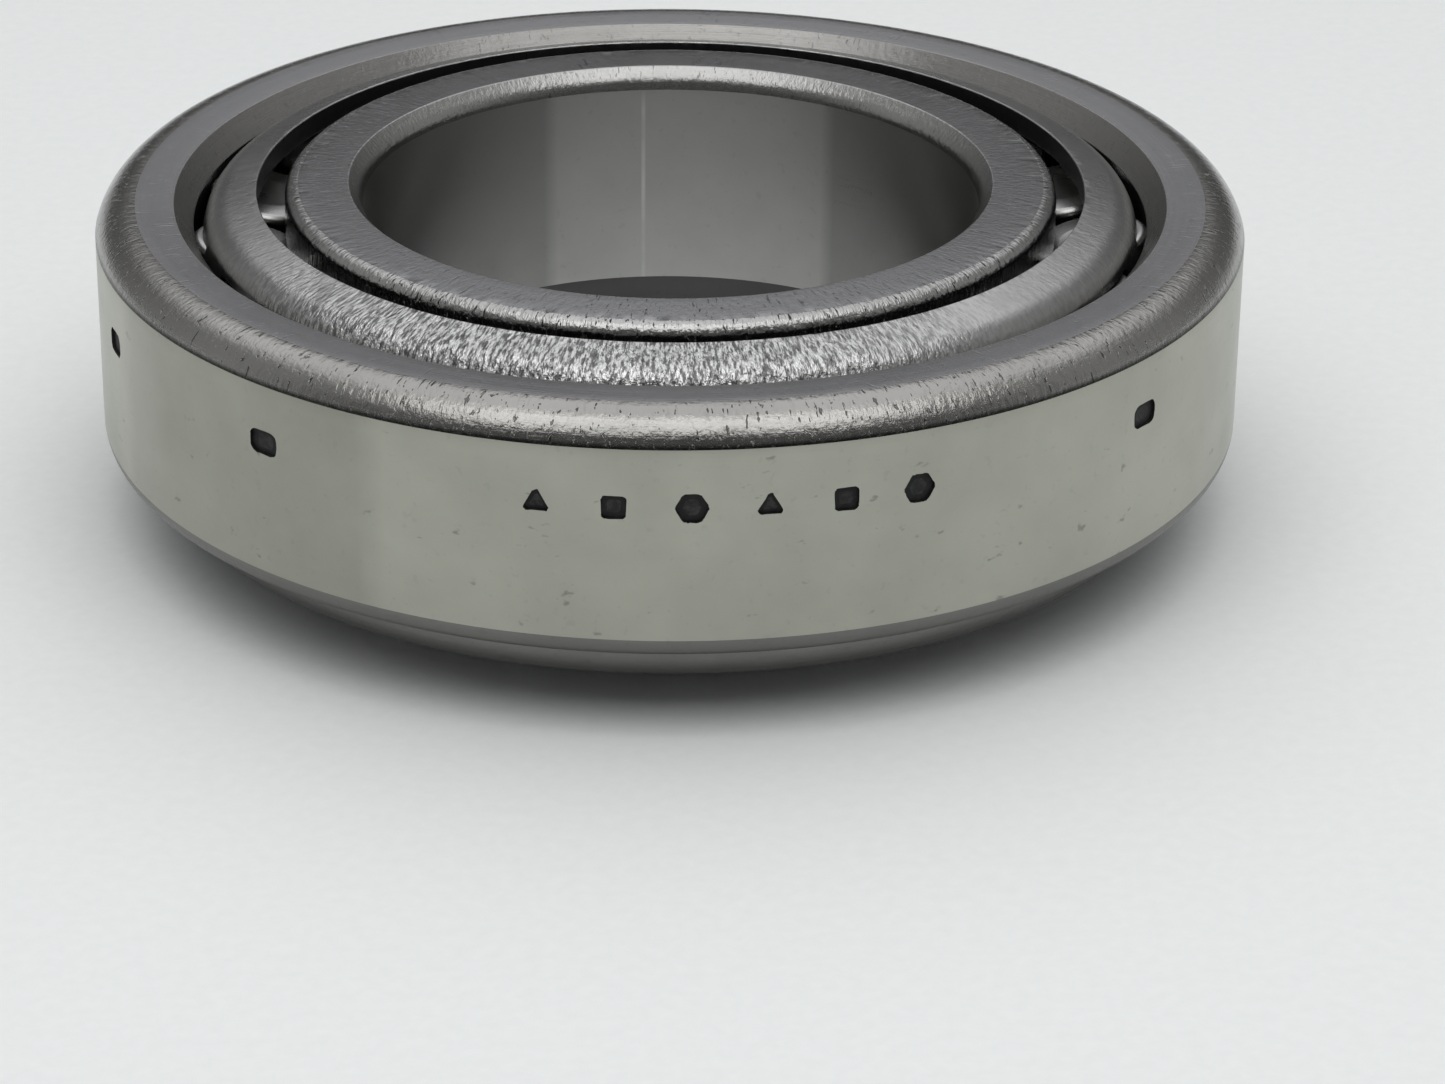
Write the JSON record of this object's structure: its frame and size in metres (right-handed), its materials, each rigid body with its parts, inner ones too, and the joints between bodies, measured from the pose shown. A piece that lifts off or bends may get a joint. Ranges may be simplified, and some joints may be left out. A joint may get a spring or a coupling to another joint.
{
  "type": "tapered roller bearing",
  "caption": "Tapered roller bearing: an inner cone with a straight bore, tapered rollers spaced by a pressed-steel cage, and an outer cup that turns over them.",
  "frame": {"origin": "on the bearing's axis in the plane of the cone's back face, which the bearing stands on", "axes": "+Z along the bearing's axis from the large end to the small end; +X to the right and +Y away from the viewer, with the row of marks on the cup near -Y"},
  "size_m": [0.0502, 0.0502, 0.0147],
  "materials": {
    "ground_steel": "ground bearing steel, satin, with fine turning marks on the rounded corner",
    "ring_steel": "ground bearing steel, satin",
    "cage_steel": "pressed and tumbled low-carbon steel, rough",
    "roller_steel": "ground and honed roller steel, bright"
  },
  "bodies": {
    "cone": {"cone": "ring_steel"},
    "cup": {"cup": "ground_steel"},
    "cage": {"cage": "cage_steel"},
    "roller_01": {"roller_01": "roller_steel"},
    "roller_02": {"roller_02": "roller_steel"},
    "roller_03": {"roller_03": "roller_steel"},
    "roller_04": {"roller_04": "roller_steel"},
    "roller_05": {"roller_05": "roller_steel"},
    "roller_06": {"roller_06": "roller_steel"},
    "roller_07": {"roller_07": "roller_steel"},
    "roller_08": {"roller_08": "roller_steel"},
    "roller_09": {"roller_09": "roller_steel"},
    "roller_10": {"roller_10": "roller_steel"},
    "roller_11": {"roller_11": "roller_steel"},
    "roller_12": {"roller_12": "roller_steel"},
    "roller_13": {"roller_13": "roller_steel"},
    "roller_14": {"roller_14": "roller_steel"},
    "roller_15": {"roller_15": "roller_steel"},
    "roller_16": {"roller_16": "roller_steel"},
    "roller_17": {"roller_17": "roller_steel"},
    "roller_18": {"roller_18": "roller_steel"},
    "roller_19": {"roller_19": "roller_steel"}
  },
  "joints": [
    {"name": "cup_spin", "type": "hinge", "parent": "cone", "child": "cup", "pos_m": [0, 0, 0.00861], "axis": [0, 0, 1], "continuous": true},
    {"name": "cage_spin", "type": "hinge", "parent": "cone", "child": "cage", "pos_m": [0, 0, 0.008], "axis": [0, 0, 1], "continuous": true},
    {"name": "roller_01_spin", "type": "hinge", "parent": "cage", "child": "roller_01", "pos_m": [0.02031, -0.00098, 0.0032], "axis": [-0.2101, 0.0101, 0.9776], "continuous": true},
    {"name": "roller_02_spin", "type": "hinge", "parent": "cage", "child": "roller_02", "pos_m": [0.01953, 0.00567, 0.0032], "axis": [-0.202, -0.0587, 0.9776], "continuous": true},
    {"name": "roller_03_spin", "type": "hinge", "parent": "cage", "child": "roller_03", "pos_m": [0.01663, 0.01171, 0.0032], "axis": [-0.172, -0.1211, 0.9776], "continuous": true},
    {"name": "roller_04_spin", "type": "hinge", "parent": "cage", "child": "roller_04", "pos_m": [0.01193, 0.01647, 0.0032], "axis": [-0.1234, -0.1704, 0.9776], "continuous": true},
    {"name": "roller_05_spin", "type": "hinge", "parent": "cage", "child": "roller_05", "pos_m": [0.00593, 0.01945, 0.0032], "axis": [-0.0614, -0.2012, 0.9776], "continuous": true},
    {"name": "roller_06_spin", "type": "hinge", "parent": "cage", "child": "roller_06", "pos_m": [-0.00071, 0.02032, 0.0032], "axis": [0.0073, -0.2102, 0.9776], "continuous": true},
    {"name": "roller_07_spin", "type": "hinge", "parent": "cage", "child": "roller_07", "pos_m": [-0.00727, 0.01899, 0.0032], "axis": [0.0752, -0.1965, 0.9776], "continuous": true},
    {"name": "roller_08_spin", "type": "hinge", "parent": "cage", "child": "roller_08", "pos_m": [-0.01304, 0.01561, 0.0032], "axis": [0.1349, -0.1614, 0.9776], "continuous": true},
    {"name": "roller_09_spin", "type": "hinge", "parent": "cage", "child": "roller_09", "pos_m": [-0.0174, 0.01053, 0.0032], "axis": [0.18, -0.1089, 0.9776], "continuous": true},
    {"name": "roller_10_spin", "type": "hinge", "parent": "cage", "child": "roller_10", "pos_m": [-0.01988, 0.00431, 0.0032], "axis": [0.2056, -0.0445, 0.9776], "continuous": true},
    {"name": "roller_11_spin", "type": "hinge", "parent": "cage", "child": "roller_11", "pos_m": [-0.0202, -0.00238, 0.0032], "axis": [0.2089, 0.0246, 0.9776], "continuous": true},
    {"name": "roller_12_spin", "type": "hinge", "parent": "cage", "child": "roller_12", "pos_m": [-0.01833, -0.00881, 0.0032], "axis": [0.1896, 0.0911, 0.9776], "continuous": true},
    {"name": "roller_13_spin", "type": "hinge", "parent": "cage", "child": "roller_13", "pos_m": [-0.01448, -0.01428, 0.0032], "axis": [0.1497, 0.1477, 0.9776], "continuous": true},
    {"name": "roller_14_spin", "type": "hinge", "parent": "cage", "child": "roller_14", "pos_m": [-0.00905, -0.01821, 0.0032], "axis": [0.0936, 0.1884, 0.9776], "continuous": true},
    {"name": "roller_15_spin", "type": "hinge", "parent": "cage", "child": "roller_15", "pos_m": [-0.00265, -0.02016, 0.0032], "axis": [0.0274, 0.2086, 0.9776], "continuous": true},
    {"name": "roller_16_spin", "type": "hinge", "parent": "cage", "child": "roller_16", "pos_m": [0.00404, -0.01993, 0.0032], "axis": [-0.0418, 0.2062, 0.9776], "continuous": true},
    {"name": "roller_17_spin", "type": "hinge", "parent": "cage", "child": "roller_17", "pos_m": [0.01029, -0.01754, 0.0032], "axis": [-0.1065, 0.1814, 0.9776], "continuous": true},
    {"name": "roller_18_spin", "type": "hinge", "parent": "cage", "child": "roller_18", "pos_m": [0.01543, -0.01325, 0.0032], "axis": [-0.1596, 0.137, 0.9776], "continuous": true},
    {"name": "roller_19_spin", "type": "hinge", "parent": "cage", "child": "roller_19", "pos_m": [0.0189, -0.00752, 0.0032], "axis": [-0.1954, 0.0778, 0.9776], "continuous": true}
  ],
  "couplings": [
    {"joint": "cage_spin", "follows": "cup_spin", "ratio": 0.56968},
    {"joint": "roller_01_spin", "follows": "cup_spin", "ratio": 3.4395},
    {"joint": "roller_02_spin", "follows": "cup_spin", "ratio": 3.4395},
    {"joint": "roller_03_spin", "follows": "cup_spin", "ratio": 3.4395},
    {"joint": "roller_04_spin", "follows": "cup_spin", "ratio": 3.4395},
    {"joint": "roller_05_spin", "follows": "cup_spin", "ratio": 3.4395},
    {"joint": "roller_06_spin", "follows": "cup_spin", "ratio": 3.4395},
    {"joint": "roller_07_spin", "follows": "cup_spin", "ratio": 3.4395},
    {"joint": "roller_08_spin", "follows": "cup_spin", "ratio": 3.4395},
    {"joint": "roller_09_spin", "follows": "cup_spin", "ratio": 3.4395},
    {"joint": "roller_10_spin", "follows": "cup_spin", "ratio": 3.4395},
    {"joint": "roller_11_spin", "follows": "cup_spin", "ratio": 3.4395},
    {"joint": "roller_12_spin", "follows": "cup_spin", "ratio": 3.4395},
    {"joint": "roller_13_spin", "follows": "cup_spin", "ratio": 3.4395},
    {"joint": "roller_14_spin", "follows": "cup_spin", "ratio": 3.4395},
    {"joint": "roller_15_spin", "follows": "cup_spin", "ratio": 3.4395},
    {"joint": "roller_16_spin", "follows": "cup_spin", "ratio": 3.4395},
    {"joint": "roller_17_spin", "follows": "cup_spin", "ratio": 3.4395},
    {"joint": "roller_18_spin", "follows": "cup_spin", "ratio": 3.4395},
    {"joint": "roller_19_spin", "follows": "cup_spin", "ratio": 3.4395}
  ]
}
